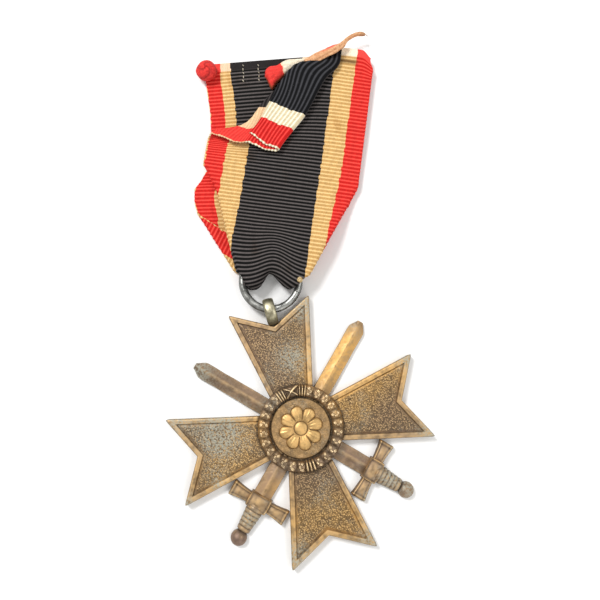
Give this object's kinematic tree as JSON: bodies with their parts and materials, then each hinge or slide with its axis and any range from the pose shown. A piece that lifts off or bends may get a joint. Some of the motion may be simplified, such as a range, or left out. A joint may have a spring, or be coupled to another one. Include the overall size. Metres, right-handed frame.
{
  "type": "medal",
  "caption": "Bronze military-style cross medal with crossed swords, leaf wreath and rosette centre, hung by a ring from a folded, gathered striped ribbon.",
  "frame": {"origin": "middle of the medal's flat back, where the backs of the crossed swords lie flush with the back of the cross", "axes": "+Z out of the medal's front, +Y up the top arm towards the ribbon"},
  "size_m": [0.0573, 0.0994, 0.0037],
  "materials": {
    "bronze": "aged bronze, worn brighter on the rims",
    "gilt": "rubbed gilt bronze",
    "eyelet_metal": "pale worn brass",
    "ring_steel": "dark tarnished steel",
    "ribbon": "ribbed silk in black, cream and red",
    "faded_ribbon": "frayed, faded silk",
    "thread": "cotton thread"
  },
  "bodies": {
    "cross": {"cross": "bronze", "wreath": "bronze", "centre_disc": "bronze", "centre_rosette": "gilt", "sword_left": "bronze", "sword_right": "bronze", "eyelet": "eyelet_metal"},
    "ring": {"suspension_ring": "ring_steel"},
    "loop": {"ribbon_loop": "ribbon"},
    "ribbon": {"ribbon_front": "ribbon", "ribbon_back": "ribbon", "ribbon_flap": "ribbon", "ribbon_tail": "faded_ribbon", "thread_left": "thread", "thread_right": "thread"}
  },
  "joints": [
    {"name": "ring_swing", "type": "hinge", "parent": "cross", "child": "ring", "pos_m": [0, 0.02309, 0.0019], "axis": [0.9559, -0.2936, 0], "range_deg": [-52, 90]},
    {"name": "ribbon_slide", "type": "hinge", "parent": "ring", "child": "loop", "pos_m": [0.0016, 0.0283, 0.0019], "axis": [0, 0, 1], "range_deg": [-20, 20]},
    {"name": "ribbon_bend", "type": "hinge", "parent": "loop", "child": "ribbon", "pos_m": [0.005, 0.0342, 0.0012], "axis": [0.9219, -0.3875, 0], "range_deg": [-75, 75]}
  ]
}
